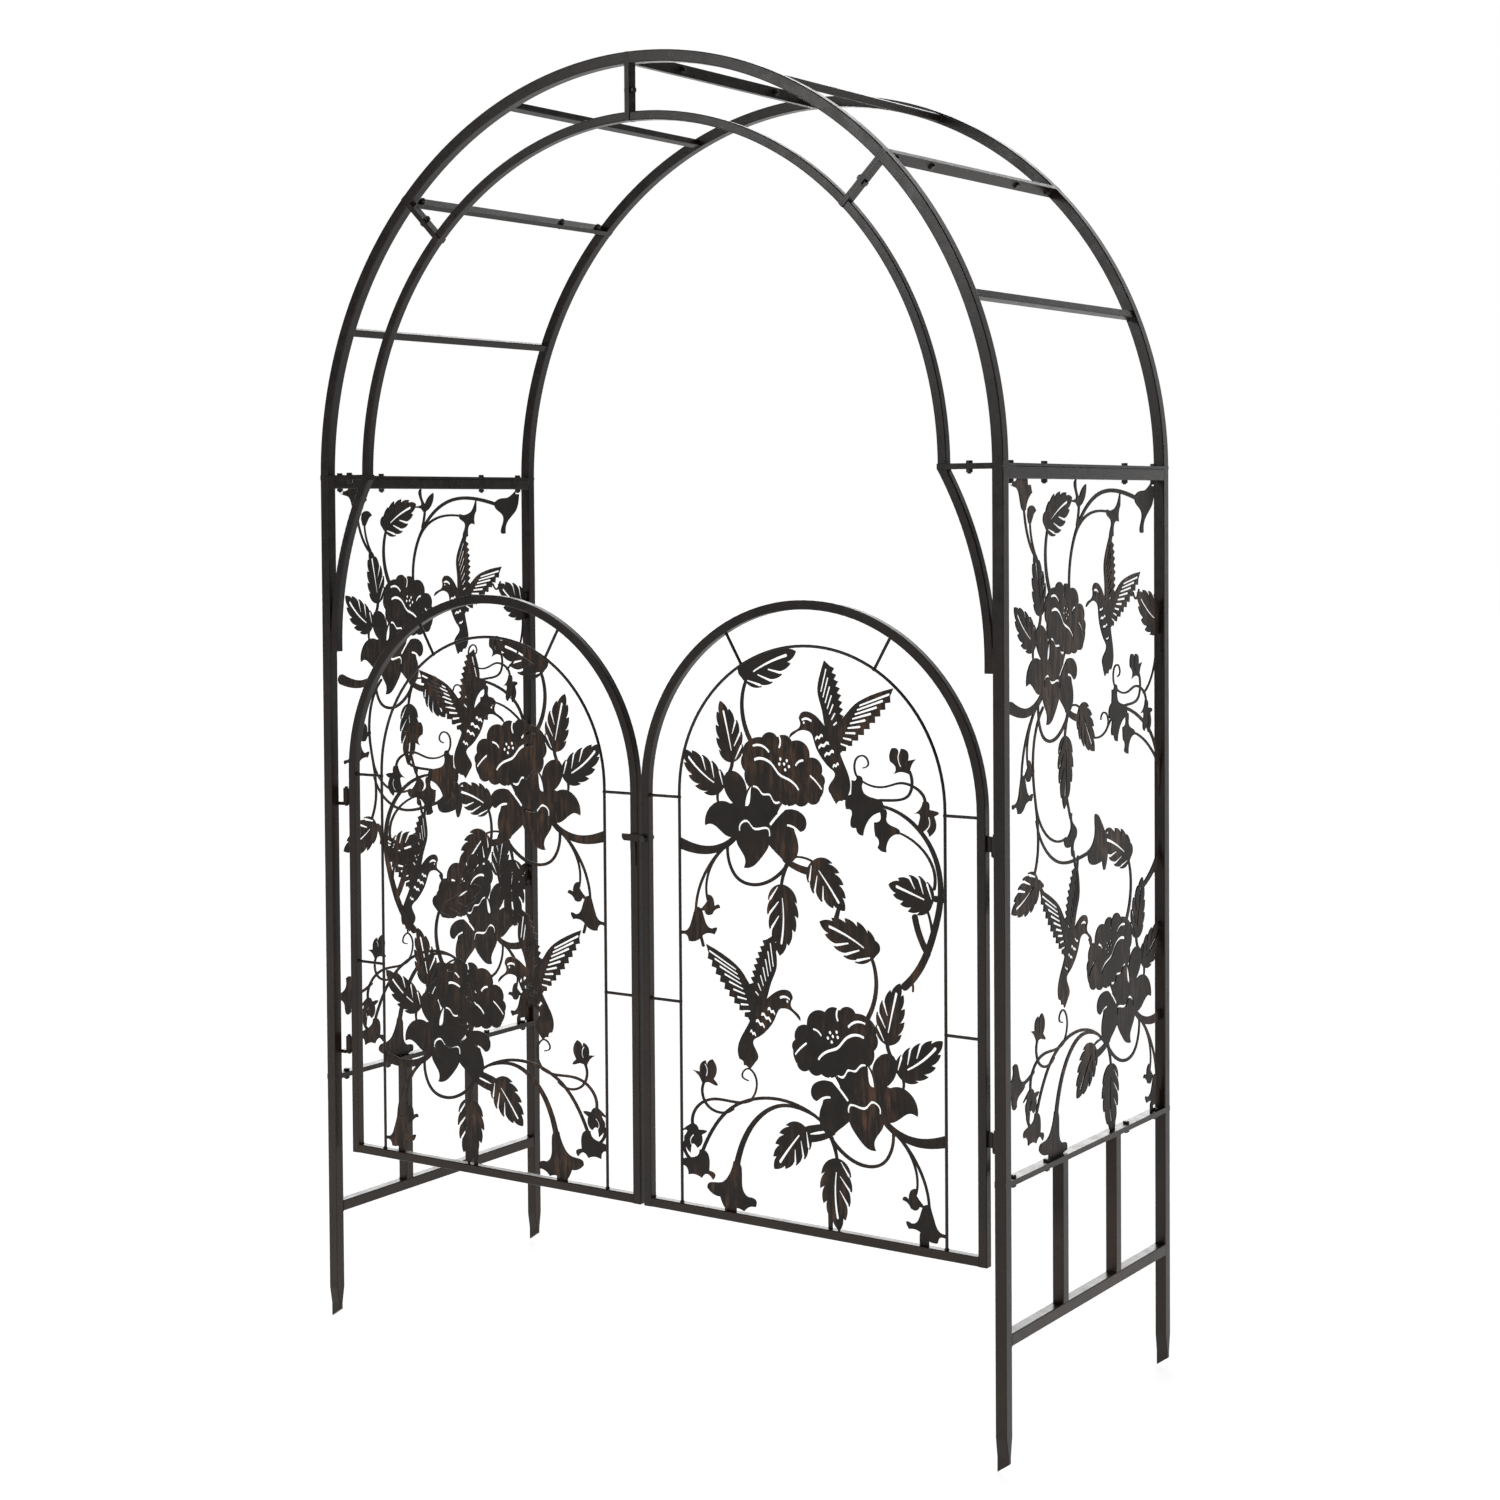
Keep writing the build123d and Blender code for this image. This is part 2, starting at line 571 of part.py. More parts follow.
def foot_group(at):
    """Low vines with two trumpets and two buds, and the tendril under the tail."""
    body = [
        stroke([(36, 38), (-4, 62), (-60, 73), (-112, 65), (-152, 44), (-184, 8), (-206, -34)], 4.5, 6, at),
        stroke([(20, 50), (-12, 62), (-50, 64), (-92, 42), (-122, 2), (-138, -46)], 2.6, 11, at),
        stroke([(-144, 46), (-176, 38), (-196, 48), (-204, 66), (-198, 86)], 4, 4.6, at),
        stroke([(-108, 65), (-142, 58), (-180, 58), (-206, 48), (-222, 28), (-222, 6)], 4, 5.4, at),
        stroke([(-110, 66), (-99, 86), (-102, 106), (-115, 115), (-126, 105), (-115, 96)], 3.2, 2.4, at),
        outline([[(-144, -38), (-150, -56), (-170, -76), (-194, -82)], [(-195, -88), (-180, -98)],
                 [(-170, -99), (-164, -112)], [(-156, -121), (-140, -113)], [(-124, -116), (-114, -108)],
                 [(-102, -106), (-101, -97)], [(-116, -92), (-128, -76), (-133, -40)]], at),
        outline([[(-210, -28), (-222, -42), (-247, -52)], [(-246, -58), (-236, -60)],
                 [(-232, -72), (-218, -70)], [(-206, -74), (-196, -66)], [(-184, -74), (-180, -66)],
                 [(-192, -60), (-202, -28)]], at),
        outline([[(-204, 82)], [(-190, 84), (-174, 81)], [(-182, 90), (-176, 108)],
                 [(-184, 122), (-191, 118)], [(-194, 106)], [(-197, 119), (-206, 113)],
                 [(-208, 99)], [(-222, 100), (-212, 94)]], at),
        outline([[(-227, 12), (-218, 12)], [(-212, 4), (-196, 3)], [(-206, -4), (-206, -18)],
                 [(-214, -26), (-222, -20)], [(-228, -36), (-238, -24)], [(-240, -10), (-234, 0)],
                 [(-248, -4), (-236, 6)]], at),
    ]
    cuts = [stroke([(-198, 112), (-194, 102), (-196, 94)], 2.4, 2.4, at),
            stroke([(-222, -6), (-228, -16), (-222, -26)], 2.4, 2.4, at)]
    return body, cuts


def cut_art(groups, extra_body, extra_cuts, limits):
    """Join all shapes, open the slits and trim the sheet to the frame round it."""
    body, cuts = list(extra_body), list(extra_cuts)
    for b, c in groups:
        body += b
        cuts += c
    with BuildSketch() as art:
        add(body)
        add(cuts, mode=Mode.SUBTRACT)
        add(limits, mode=Mode.INTERSECT)
    return art.sketch


# gate sheet, drawn about the leaf centre line with heights from its zero line
motif_z = gate_bottom + motif_rise * stretch[1]
GATE_LOW = (1.0, -422.0, 0.0, -1.0)
right_leaf = leaf((222, 405), (146, 431), 30, -4)
gate_groups = [
    blossom_group(HOME),
    bird((45.0, 650.0, 0.0, 1.0)),
    bell_group(HOME),
    blossom_group(GATE_LOW),
    bird((-93.0, 213.0, 6.4, -1.0)),
    foot_group(HOME),
    right_leaf,
]
gate_stems = [
    stroke([(174, 276), (206, 316), (224, 360), (236, 410), (236, 446), (224, 486), (196, 522),
            (160, 544), (130, 551)], 13, 4.2),
    stroke([(226, 430), (224, 462), (204, 490), (162, 512)], 5, 3.2),
    stroke([(192, 384), (202, 352), (214, 330)], 10, 10),
    stroke([(212, 400), (219, 380), (222, 348)], 3.4, 4),
    stroke([(176, 276), (186, 282), (188, 270)], 5, 3),
    stroke([(56, 386), (52, 372)], 6, 8),
    stroke([(228, 415), (250, 414)], 10, 8),
    stroke([(-60, 318), (-66, 306)], 8, 8),
    stroke([(38, -98), (38, -130)], 8, 7),
    stroke([(-150, -108), (-150, -130)], 22, 22),
    stroke([(206, -104), (206, -130)], 16, 16),
    stroke([(-204, 318), (-200, 305)], 5, 5),
    stroke([(-230, -6), (-240, -30), (-226, -48)], 4, 6),
    stroke([(60, 560), (76, 560)], 8, 8),
    stroke([(-8, 28), (20, 38), (38, 40)], 12, 10),
]
with BuildSketch() as leaf_limits:
    top = leaf_spring - motif_z
    low = gate_bottom + thin_tube + seat - motif_z
    inside = rod_r - rod / 2 - seat
    with Locations((0, top)):
        Circle(inside)
    with Locations((0, (low + top) / 2)):
        Rectangle(2 * inside, top - low)
gate_art = cut_art(gate_groups, gate_stems, [], leaf_limits.sketch)

# side sheet, drawn from the front post with heights from the panel joint
stretch = (depth / motif_depth, panel_h / motif_panel)
side_mid = 285.0
side_groups = [
    blossom_group((side_mid - 21, 238.0, 0.0, 0.89)),
    bird((side_mid + 88, 839.0, -10.0, 1.0)),
    bell_group((side_mid + 23, 127.0, 0.0, 1.0)),
    blossom_group((side_mid + 44, -303.0, 0.0, -1.06)),
    bird((side_mid - 50, 330.0, 6.5, -1.0)),
    foot_group((side_mid + 38, 113.0, 0.0, 1.0)),
    leaf((575, 812), (486, 868), 34, 3),
    leaf((126, 442), (40, 400), 30, 3),
]
side_body = [
    outline([[(36, 1043)], [(56, 1038), (70, 1026), (80, 1004)], [(90, 1004), (96, 1018)],
             [(111, 1030)], [(106, 1042)], [(97, 1042)], [(95, 1054)], [(66, 1054)], [(60, 1048)]]),
    outline([[(98, 1006), (110, 1011)], [(124, 1003)], [(116, 998)], [(107, 984)], [(100, 984)],
             [(96, 996)]]),
    stroke([(84, 1010), (92, 976), (112, 942), (126, 930)], 4, 5),
    stroke([(104, 992), (108, 964), (120, 938)], 3, 4),
    stroke([(238, 868), (238, 914), (252, 956), (290, 1002), (340, 1028), (402, 1034), (482, 1022)],
           5, 7),
    stroke([(256, 962), (288, 990), (330, 1001), (376, 1000)], 5, 4),
    stroke([(264, 980), (270, 1000), (272, 1018)], 5, 5),
    stroke([(232, 1016), (256, 1017), (274, 1012)], 3, 3.4),
    outline([[(268, 1008), (280, 1012), (292, 1024)], [(296, 1044), (282, 1036)],
             [(272, 1022), (262, 1040)], [(262, 1052), (255, 1040), (262, 1022)],
             [(254, 1020), (262, 1014)]]),
    outline([[(478, 1026), (500, 1034), (520, 1036), (556, 1054)], [(552, 1040), (548, 1020)],
             [(544, 1012), (530, 1000), (514, 986)], [(510, 966), (498, 966)],
             [(502, 984), (498, 1004), (478, 1018)]]),
    outline([[(372, 1004), (396, 1004), (410, 1012), (420, 1030)], [(421, 1010), (416, 1002)],
             [(416, 984), (402, 984)], [(396, 962), (382, 960)], [(386, 974), (382, 990), (372, 996)]]),
    stroke([(145, 702), (118, 660), (112, 600), (122, 548), (128, 500), (116, 452)], 5, 5),
    stroke([(120, 560), (140, 520), (176, 496), (222, 494)], 4, 4),
    stroke([(122, 530), (150, 486), (196, 460), (250, 456), (306, 463)], 4, 6),
    outline([[(216, 490), (232, 498), (240, 512), (236, 532)], [(244, 530), (246, 516), (258, 506)],
             [(258, 492), (250, 484)], [(252, 462), (246, 462)], [(242, 480), (218, 484)]]),
    stroke([(226, 556), (232, 540), (238, 524)], 5, 5),
    stroke([(249, 470), (254, 448)], 4, 5),
    outline([[(300, 466), (316, 474), (326, 496), (326, 520)], [(340, 516), (352, 502)],
             [(358, 494), (368, 476)], [(370, 448), (358, 428)], [(352, 444), (300, 456)]]),
    stroke([(362, 486), (374, 492), (392, 484)], 5, 4),
    stroke([(440, 682), (500, 660), (544, 626), (570, 566), (580, 520)], 5, 8),
    stroke([(470, 640), (516, 622), (560, 588)], 3.6, 5),
    stroke([(560, 808), (556, 760), (538, 724), (510, 702)], 4, 4),
    stroke([(312, 644), (340, 642), (362, 648), (375, 663), (370, 676), (357, 680), (348, 670)],
           3.4, 2.6),
    stroke([(366, 650), (386, 668)], 3.4, 3.4),
    stroke([(304, 324), (318, 306)], 4, 8),
    stroke([(262, 444), (264, 460)], 5, 5),
    stroke([(126, 436), (142, 420)], 6, 6),
    stroke([(388, 962), (384, 950)], 7, 6),
    stroke([(570, 812), (580, 812)], 30, 30),
    stroke([(558, 834), (574, 850)], 5, 5),
    stroke([(492, 872), (480, 858), (470, 868)], 3.4, 3.4),
    stroke([(562, 424), (534, 400), (504, 384)], 14, 8),
    stroke([(552, 404), (572, 440), (576, 520), (572, 580)], 8, 10),
    stroke([(392, 20), (388, -4)], 10, 10),
    stroke([(172, 14), (172, -4)], 36, 36),
    stroke([(540, 14), (540, -4)], 16, 16),
    stroke([(96, 108), (88, 86), (100, 66)], 4, 6),
    outline([[(16, 132), (30, 132)], [(38, 122), (46, 104)], [(54, 108), (60, 122), (80, 134)],
             [(80, 142), (64, 150), (54, 172)], [(42, 170), (40, 152)], [(30, 146), (16, 146)]]),
    stroke([(76, 138), (92, 142), (110, 150)], 5, 5),
    stroke([(130, 436), (142, 430)], 10, 6),
]
with BuildSketch() as side_limits:
    y0, y1 = tube + seat, depth - tube - seat
    z0, z1 = flat + seat, panel_h - tube - seat
    with Locations(((y0 + y1) / 2, (z0 + z1) / 2)):
        Rectangle(y1 - y0, z1 - z0)
    # room for the bolt heads on the lower joint and the nuts under the rail
    for y in bolt_rows:
        with Locations((y, flat), (y, panel_h - tube)):
            Rectangle(head_af + 5.0, 2 * (nut_h + 4.0), mode=Mode.SUBTRACT)
side_art = cut_art(side_groups, side_body, [], side_limits.sketch)

for word, s in SIDES:
    with BuildPart() as side_scroll:
        with BuildSketch(Plane(origin=(s * post_x - sheet / 2, 0, joint_z), x_dir=(0, 1, 0),
                               z_dir=(1, 0, 0))):
            add(side_art)
        extrude(amount=sheet)
    save(side_scroll, "side_scroll_" + word)

# ---------------------------------------------------------------- gate leaves
for word, s in SIDES:
    mid = s * leaf_x
    with BuildPart() as frame:
        for e in (-1, 1):
            add(hollow((mid + e * leaf_r, gate_back, gate_bottom), (0, 0, 1), (1, 0, 0),
                       leaf_spring - gate_bottom, thin_tube, thin_wall))
        add(bent(leaf_r, (mid, leaf_spring), gate_back, 0, 180, thin_tube, thin_wall))
        if s > 0:
            with Locations(Location((latch_x, gate_back, latch_z), (90, 0, 0))):
                Cylinder(bolt_hole, 2 * thin_tube, mode=Mode.SUBTRACT)
    save(frame, "gate_frame_" + word)
    with BuildPart() as rail:
        run = leaf_w - 2 * thin_tube
        add(hollow((mid - run / 2, gate_back, gate_bottom + thin_tube / 2), (1, 0, 0), (0, 1, 0),
                   run, thin_tube, thin_wall))
    save(rail, "gate_rail_" + word)
    with BuildPart() as rod_arch:
        for e in (-1, 1):
            with Locations((mid + e * rod_r, gate_back, gate_bottom + thin_tube)):
                Cylinder(rod / 2, leaf_spring - gate_bottom - thin_tube,
                         align=(Align.CENTER, Align.CENTER, Align.MIN))
        with BuildSketch(Plane(origin=(mid + rod_r, gate_back, leaf_spring), x_dir=(1, 0, 0),
                               z_dir=(0, 0, 1))):
            Circle(rod / 2)
        revolve(axis=Axis((mid, 0, leaf_spring), (0, -1, 0)), revolution_arc=180)
    save(rod_arch, "gate_rod_" + word)
    with BuildPart() as ties:
        reach = leaf_r - thin_tube / 2 - rod_r - rod / 2
        for e in (-1, 1):
            for z in (leaf_spring - 6.0, gate_bottom + low_tie):
                with Locations(Location((mid + e * (rod_r + rod / 2 + reach / 2), gate_back, z),
                                        (0, 90, 0))):
                    Cylinder(rod / 2, reach)
        for a in (60.0, 120.0):
            r = rod_r + rod / 2 + reach / 2
            with Locations(Location((mid + r * math.cos(math.radians(a)), gate_back,
                                     leaf_spring + r * math.sin(math.radians(a))), (0, 90 - a, 0))):
                Cylinder(rod / 2, reach)
    save(ties, "gate_ties_" + word)
    with BuildPart() as scroll:
        with BuildSketch(Plane(origin=(mid, gate_back + sheet / 2, motif_z), x_dir=(s, 0, 0),
                               z_dir=(0, -s, 0))):
            add(gate_art)
        extrude(amount=s * sheet)
    save(scroll, "gate_scroll_" + word)
    with BuildPart() as eyes:
        for z in hinge_rows:
            eye_r = pin_d / 2 + pin_fit + eye_wall
            with BuildSketch(Plane.XY.offset(z - eye_h / 2)):
                with Locations((s * axis_x, axis_y)):
                    Circle(eye_r)
                reach = axis_x - (leaf_x + leaf_w / 2)
                with Locations((s * (axis_x - reach / 2), axis_y)):
                    Rectangle(reach, 5.0)
                with Locations((s * axis_x, axis_y)):
                    Circle(pin_d / 2 + pin_fit, mode=Mode.SUBTRACT)
            extrude(amount=eye_h)
    save(eyes, "hinge_eyes_" + word)

with BuildPart() as pins:
    lug_h = 6.0
    for _, s in SIDES:
        for z in hinge_rows:
            base = z - eye_h / 2 - face_gap - lug_h
            with BuildSketch(Plane.XY.offset(base)):
                with Locations((s * axis_x, axis_y)):
                    Circle(5.4)
                grip = half - tube - axis_x
                with Locations((s * (axis_x + grip / 2), axis_y - 2.6)):
                    Rectangle(grip, 14.0)
            extrude(amount=lug_h)
            with BuildSketch(Plane.XY.offset(base - 2.0)):
                with Locations((s * axis_x, axis_y)):
                    Circle(pin_d / 2)
            extrude(amount=2.0 + lug_h + face_gap + eye_h + 3.0)
save(pins, "hinge_pins")

# ---------------------------------------------------------------- latch
bar_h = 11.6
bar_thick = 3.0
bar_left = -33.0
stile_front = gate_back - thin_tube / 2
bar_back = stile_front - face_gap
with BuildPart() as latch:
    with BuildSketch(Plane(origin=(0, bar_back, latch_z), x_dir=(1, 0, 0), z_dir=(0, -1, 0))):
        with BuildLine():
            Polyline((latch_x, -bar_h / 2), (bar_left + 4, -bar_h / 2), (bar_left, -bar_h / 2 + 4),
                     (bar_left, bar_h / 2), (latch_x, bar_h / 2))
            ThreePointArc((latch_x, bar_h / 2), (latch_x + bar_h / 2, 0), (latch_x, -bar_h / 2))
        make_face()
        with Locations((latch_x, 0)):
            Circle(pin_d / 2 + pin_fit, mode=Mode.SUBTRACT)
    extrude(amount=bar_thick)
save(latch, "latch_bar")
with BuildPart() as pivot:
    head_back = bar_back - bar_thick - face_gap
    with BuildSketch(Plane(origin=(latch_x, head_back, latch_z), x_dir=(1, 0, 0), z_dir=(0, -1, 0))):
        RegularPolygon(head_af / 2, 6, major_radius=False)
    extrude(amount=head_h)
    chamfer(pivot.edges().group_by(Axis.Y)[0], 0.6)
    with BuildSketch(Plane(origin=(latch_x, head_back, latch_z), x_dir=(1, 0, 0), z_dir=(0, 1, 0))):
        Circle(pin_d / 2)
    stile_back = gate_back + thin_tube / 2
    extrude(amount=stile_back + nut_h + 2.0 - head_back)
    with BuildSketch(Plane(origin=(latch_x, stile_back, latch_z), x_dir=(1, 0, 0), z_dir=(0, 1, 0))):
        RegularPolygon(head_af / 2, 6, major_radius=False)
    extrude(amount=nut_h)
save(pivot, "latch_pivot")
with BuildPart() as catch:
    ledge = latch_z - bar_h / 2 - face_gap
    t = 2.5
    with BuildSketch(Plane(origin=(-latch_x - 5, 0, 0), x_dir=(0, 1, 0), z_dir=(1, 0, 0))):
        with BuildLine():
            Polyline((stile_front, ledge - 40), (stile_front, ledge - 18), (bar_back - bar_thick + t, ledge - 6),
                     (bar_back - bar_thick + t, ledge - t), (stile_front, ledge - t), (stile_front, ledge),
                     (bar_back - bar_thick, ledge), (bar_back - bar_thick, ledge - 7),
                     (stile_front - t, ledge - 19), (stile_front - t, ledge - 40), close=True)
        make_face()
    extrude(amount=10)
save(catch, "latch_catch")
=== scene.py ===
import math
import random

import bmesh
import bpy
from mathutils import Matrix, Vector


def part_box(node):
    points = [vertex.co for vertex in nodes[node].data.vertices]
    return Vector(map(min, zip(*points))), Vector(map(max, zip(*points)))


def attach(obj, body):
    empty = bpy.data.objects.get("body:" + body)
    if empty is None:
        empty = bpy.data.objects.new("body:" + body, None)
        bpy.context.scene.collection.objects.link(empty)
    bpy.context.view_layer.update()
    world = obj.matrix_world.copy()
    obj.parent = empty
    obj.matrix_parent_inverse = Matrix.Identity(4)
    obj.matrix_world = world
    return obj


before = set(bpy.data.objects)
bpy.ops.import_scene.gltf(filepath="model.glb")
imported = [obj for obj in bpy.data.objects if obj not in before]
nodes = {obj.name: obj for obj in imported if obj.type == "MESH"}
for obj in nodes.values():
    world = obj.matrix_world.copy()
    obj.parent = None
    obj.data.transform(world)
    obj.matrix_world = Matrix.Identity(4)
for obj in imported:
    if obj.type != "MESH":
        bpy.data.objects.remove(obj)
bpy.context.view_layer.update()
random.seed(11)

# ------------------------------------------------------------ sizes (metres)
# Places of the seams, read from the boxes of the pieces that meet there.
post_low, post_high = (Vector(c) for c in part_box("post_front_right"))
rail_low, rail_high = (Vector(c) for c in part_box("leg_rail_right"))
leg_bar_low, leg_bar_high = (Vector(c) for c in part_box("leg_bar_right"))
link_low, link_high = (Vector(c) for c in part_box("link_bar_right"))
brace_low, brace_high = (Vector(c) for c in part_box("brace_right"))
sill_low, sill_high = (Vector(c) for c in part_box("gate_rail_right"))
rod_low, rod_high = (Vector(c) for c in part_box("gate_rod_right"))

FRONT = post_low.y
DEPTH = -2 * FRONT
TUBE = post_high.x - post_low.x
POST_X = (post_low.x + post_high.x) / 2     # centre line of the posts
RAIL_Z = (rail_low.z + rail_high.z) / 2     # centre line of the leg rails
JOINT_Z = leg_bar_high.z                    # leg frames end, side panels begin
FLAT = leg_bar_high.z - leg_bar_low.z
SPRING = link_high.z                        # the arches begin here
BRACE_FOOT = brace_low.z
BRACE_SEAM = 0.035
BAR_TUBE = 0.013

GATE_TUBE = sill_high.z - sill_low.z
GATE_Y = (sill_low.y + sill_high.y) / 2
GATE_MID = (sill_low.x + sill_high.x) / 2
GATE_REACH = (sill_high.x - sill_low.x) / 2     # leaf centre to the inner faces of its stiles
GATE_FLOOR = sill_high.z
ROD = rod_high.y - rod_low.y
ROD_R = (rod_high.x - rod_low.x - ROD) / 2
GATE_SPRING = rod_high.z - ROD_R - ROD / 2
TIE_ROWS = (GATE_SPRING - 0.006, sill_low.z + 0.343)
TIE_ANGLES = (60.0, 120.0)

BEAD = 0.0014           # drop radius of the common weld bead
FINE_BEAD = 0.0011
FACE_BEAD = 0.0010
ROD_FOOT_KNOB = 0.0042
TIE_KNOBS = {"stile": 0.0034, "rod": 0.0032, "top": 0.0033}

# ------------------------------------------------------------ finishes (linear colours)
DUST_BROWN = (0.0360, 0.0200, 0.0110, 1)
RUBBED_GREY = (0.050, 0.042, 0.036, 1)
COPPER = (0.150, 0.068, 0.030, 1)


class Nodes:
    """Adds and links the shader nodes of one material, on Object coordinates."""

    def __init__(self, name):
        self.mat = bpy.data.materials.new(name)
        self.mat.use_nodes = True
        self.tree = self.mat.node_tree
        self.shader = self.tree.nodes["Principled BSDF"]
        self.coord = self.tree.nodes.new("ShaderNodeTexCoord").outputs["Object"]

    def feed(self, socket, value):
        """Link another node's output to a socket, or set a plain value on it."""
        if isinstance(value, bpy.types.NodeSocket):
            self.tree.links.new(value, socket)
        else:
            socket.default_value = value

    def put(self, kind, **sockets):
        node = self.tree.nodes.new(kind)
        for key, value in sockets.items():
            self.feed(node.inputs[key.replace("_", " ")], value)
        return node

    def noise(self, scale, detail=4.0, rough=0.55, vector=None):
        return self.put("ShaderNodeTexNoise", Vector=vector or self.coord, Scale=scale,
                        Detail=detail, Roughness=rough).outputs["Fac"]

    def stretch(self, scale):
        return self.put("ShaderNodeMapping", Vector=self.coord, Scale=scale).outputs["Vector"]

    def ramp(self, fac, stops):
        node = self.put("ShaderNodeValToRGB", Fac=fac)
        bar = node.color_ramp
        for element, (at, colour) in zip(bar.elements, (stops[0], stops[-1])):
            element.position, element.color = at, (*colour, 1)
        for at, colour in stops[1:-1]:
            bar.elements.new(at).color = (*colour, 1)
        return node.outputs["Color"]

    def level(self, fac, low, high, out0=0.0, out1=1.0):
        return self.put("ShaderNodeMapRange", Value=fac, From_Min=low, From_Max=high,
                        To_Min=out0, To_Max=out1).outputs["Result"]

    def mix(self, fac, a, b):
        node = self.tree.nodes.new("ShaderNodeMix")
        node.data_type = "RGBA"
        inputs = {socket.identifier: socket for socket in node.inputs}
        for key, value in (("Factor_Float", fac), ("A_Color", a), ("B_Color", b)):
            self.feed(inputs[key], value)
        return next(s for s in node.outputs if s.identifier == "Result_Color")

    def math(self, kind, a, b=0.0):
        node = self.tree.nodes.new("ShaderNodeMath")
        node.operation = kind
        self.feed(node.inputs[0], a)
        self.feed(node.inputs[1], b)
        return node.outputs[0]

    def round_edges(self, radius):
        node = self.tree.nodes.new("ShaderNodeBevel")
        node.samples = 4
        node.inputs["Radius"].default_value = radius
        return node.outputs["Normal"]

    def bump(self, height, strength, distance, normal):
        return self.put("ShaderNodeBump", Height=height, Strength=strength, Distance=distance,
                        Normal=normal).outputs["Normal"]

    def set(self, **sockets):
        for key, value in sockets.items():
            self.feed(self.shader.inputs[key.replace("_", " ")], value)
        return self.mat


def powder_coat(name):
    """Black satin powder coat: fine grain, brown dust low down and pale rubbed flecks."""
    n = Nodes(name)
    grain = n.noise(850.0, 3.0, 0.6)
    mottle = n.noise(42.0, 5.0, 0.65)
    cloud = n.noise(7.0, 3.0, 0.5)
    height = n.put("ShaderNodeSeparateXYZ", Vector=n.coord).outputs["Z"]
    low_down = n.level(height, 0.10, 1.30, 1.0, 0.25)
    fleck = n.level(n.noise(380.0, 2.0, 0.5), 0.64, 0.74)
    base = n.ramp(mottle, [(0.30, (0.0040, 0.0034, 0.0034)), (0.55, (0.0085, 0.0070, 0.0068)),
                           (0.80, (0.0170, 0.0140, 0.0130))])
    dust = n.math("MULTIPLY", low_down, n.level(cloud, 0.30, 0.68, 0.25, 1.0))
    brown = n.mix(dust, base, DUST_BROWN)
    colour = n.mix(n.math("MULTIPLY", fleck, 0.5), brown, RUBBED_GREY)
    uneven = n.math("ADD", mottle, n.math("MULTIPLY", grain, 0.5))
    normal = n.bump(grain, 0.22, 0.0005, n.round_edges(0.0009))
    return n.set(Base_Color=colour, Roughness=n.level(uneven, 0.5, 1.0, 0.24, 0.38),
                 Normal=normal, Metallic=0.0, Specular_IOR_Level=0.30)


def brushed_bronze(name):
    """Laser-cut sheet, dark bronze with hand-brushed copper streaks and worn edges."""
    n = Nodes(name)
    grain = n.noise(650.0, 3.0, 0.6)
    streak = n.noise(55.0, 5.0, 0.7, n.stretch((2.2, 2.2, 0.35)))
    patch = n.noise(8.0, 4.0, 0.6)
    brushed = n.math("MULTIPLY", n.level(streak, 0.46, 0.72), n.level(patch, 0.42, 0.62))
    base = n.ramp(n.noise(24.0, 4.0, 0.6), [(0.3, (0.0075, 0.0054, 0.0040)),
                                            (0.7, (0.0170, 0.0115, 0.0080))])
    colour = n.mix(n.math("MULTIPLY", brushed, 0.85), base, COPPER)
    normal = n.bump(grain, 0.25, 0.0005, n.round_edges(0.0006))
    return n.set(Base_Color=colour, Roughness=n.level(brushed, 0.0, 1.0, 0.52, 0.36),
                 Normal=normal, Metallic=0.0, Specular_IOR_Level=0.28)


def black_fasteners(name):
    """Blackened bolts and nuts with a slight wear on the corners."""
    n = Nodes(name)
    wear = n.noise(160.0, 4.0, 0.6)
    colour = n.ramp(wear, [(0.35, (0.007, 0.0065, 0.0065)), (0.75, (0.034, 0.031, 0.028))])
    normal = n.bump(n.noise(600.0), 0.2, 0.0004, n.round_edges(0.0004))
    return n.set(Base_Color=colour, Roughness=n.level(wear, 0.3, 0.7, 0.24, 0.40),
                 Normal=normal, Metallic=0.0, Specular_IOR_Level=0.45)


coat = powder_coat("powder_coat")
bronze = brushed_bronze("brushed_bronze")
steel = black_fasteners("black_fasteners")


def finish_of(name):
    """The finish of a CAD node, by what the node is."""
    if "scroll" in name:
        return bronze
    if "bolt" in name or "nuts" in name or name == "latch_pivot":
        return steel
    return coat


for name, node in nodes.items():
    node.data.materials.clear()
    node.data.materials.append(finish_of(name))


# ------------------------------------------------------------ weld beads
def drop_bead(bm, at, radius):
    """One drop of weld metal, a little off its place and size."""
    jitter = Vector([random.uniform(-0.12, 0.12) * radius for _ in range(3)])
    bmesh.ops.create_uvsphere(bm, u_segments=8, v_segments=5,
                              radius=radius * random.uniform(0.88, 1.1),
                              matrix=Matrix.Translation(Vector(at) + jitter))


def run_bead(bm, start, end, radius=BEAD):
    """A row of overlapping drops from one end of a seam to the other."""
    start, run = Vector(start), Vector(end) - Vector(start)
    count = max(1, round(run.length / (radius * 0.95)))
    seam = bmesh.new()
    for k in range(count + 1):
        drop_bead(seam, start + run * (k / count), radius)
    row = bpy.data.meshes.new("seam")
    seam.to_mesh(row)
    seam.free()
    bm.from_mesh(row)
    bpy.data.meshes.remove(row)


def weld_piece(name, body, fill):
    """One piece with all the beads of a body, filled by the given function."""
    bm = bmesh.new()
    fill(bm)
    mesh = bpy.data.meshes.new(name)
    bm.to_mesh(mesh)
    bm.free()
    for face in mesh.polygons:
        face.use_smooth = True
    piece = bpy.data.objects.new(name, mesh)
    bpy.context.collection.objects.link(piece)
    mesh.materials.append(coat)
    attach(piece, body)


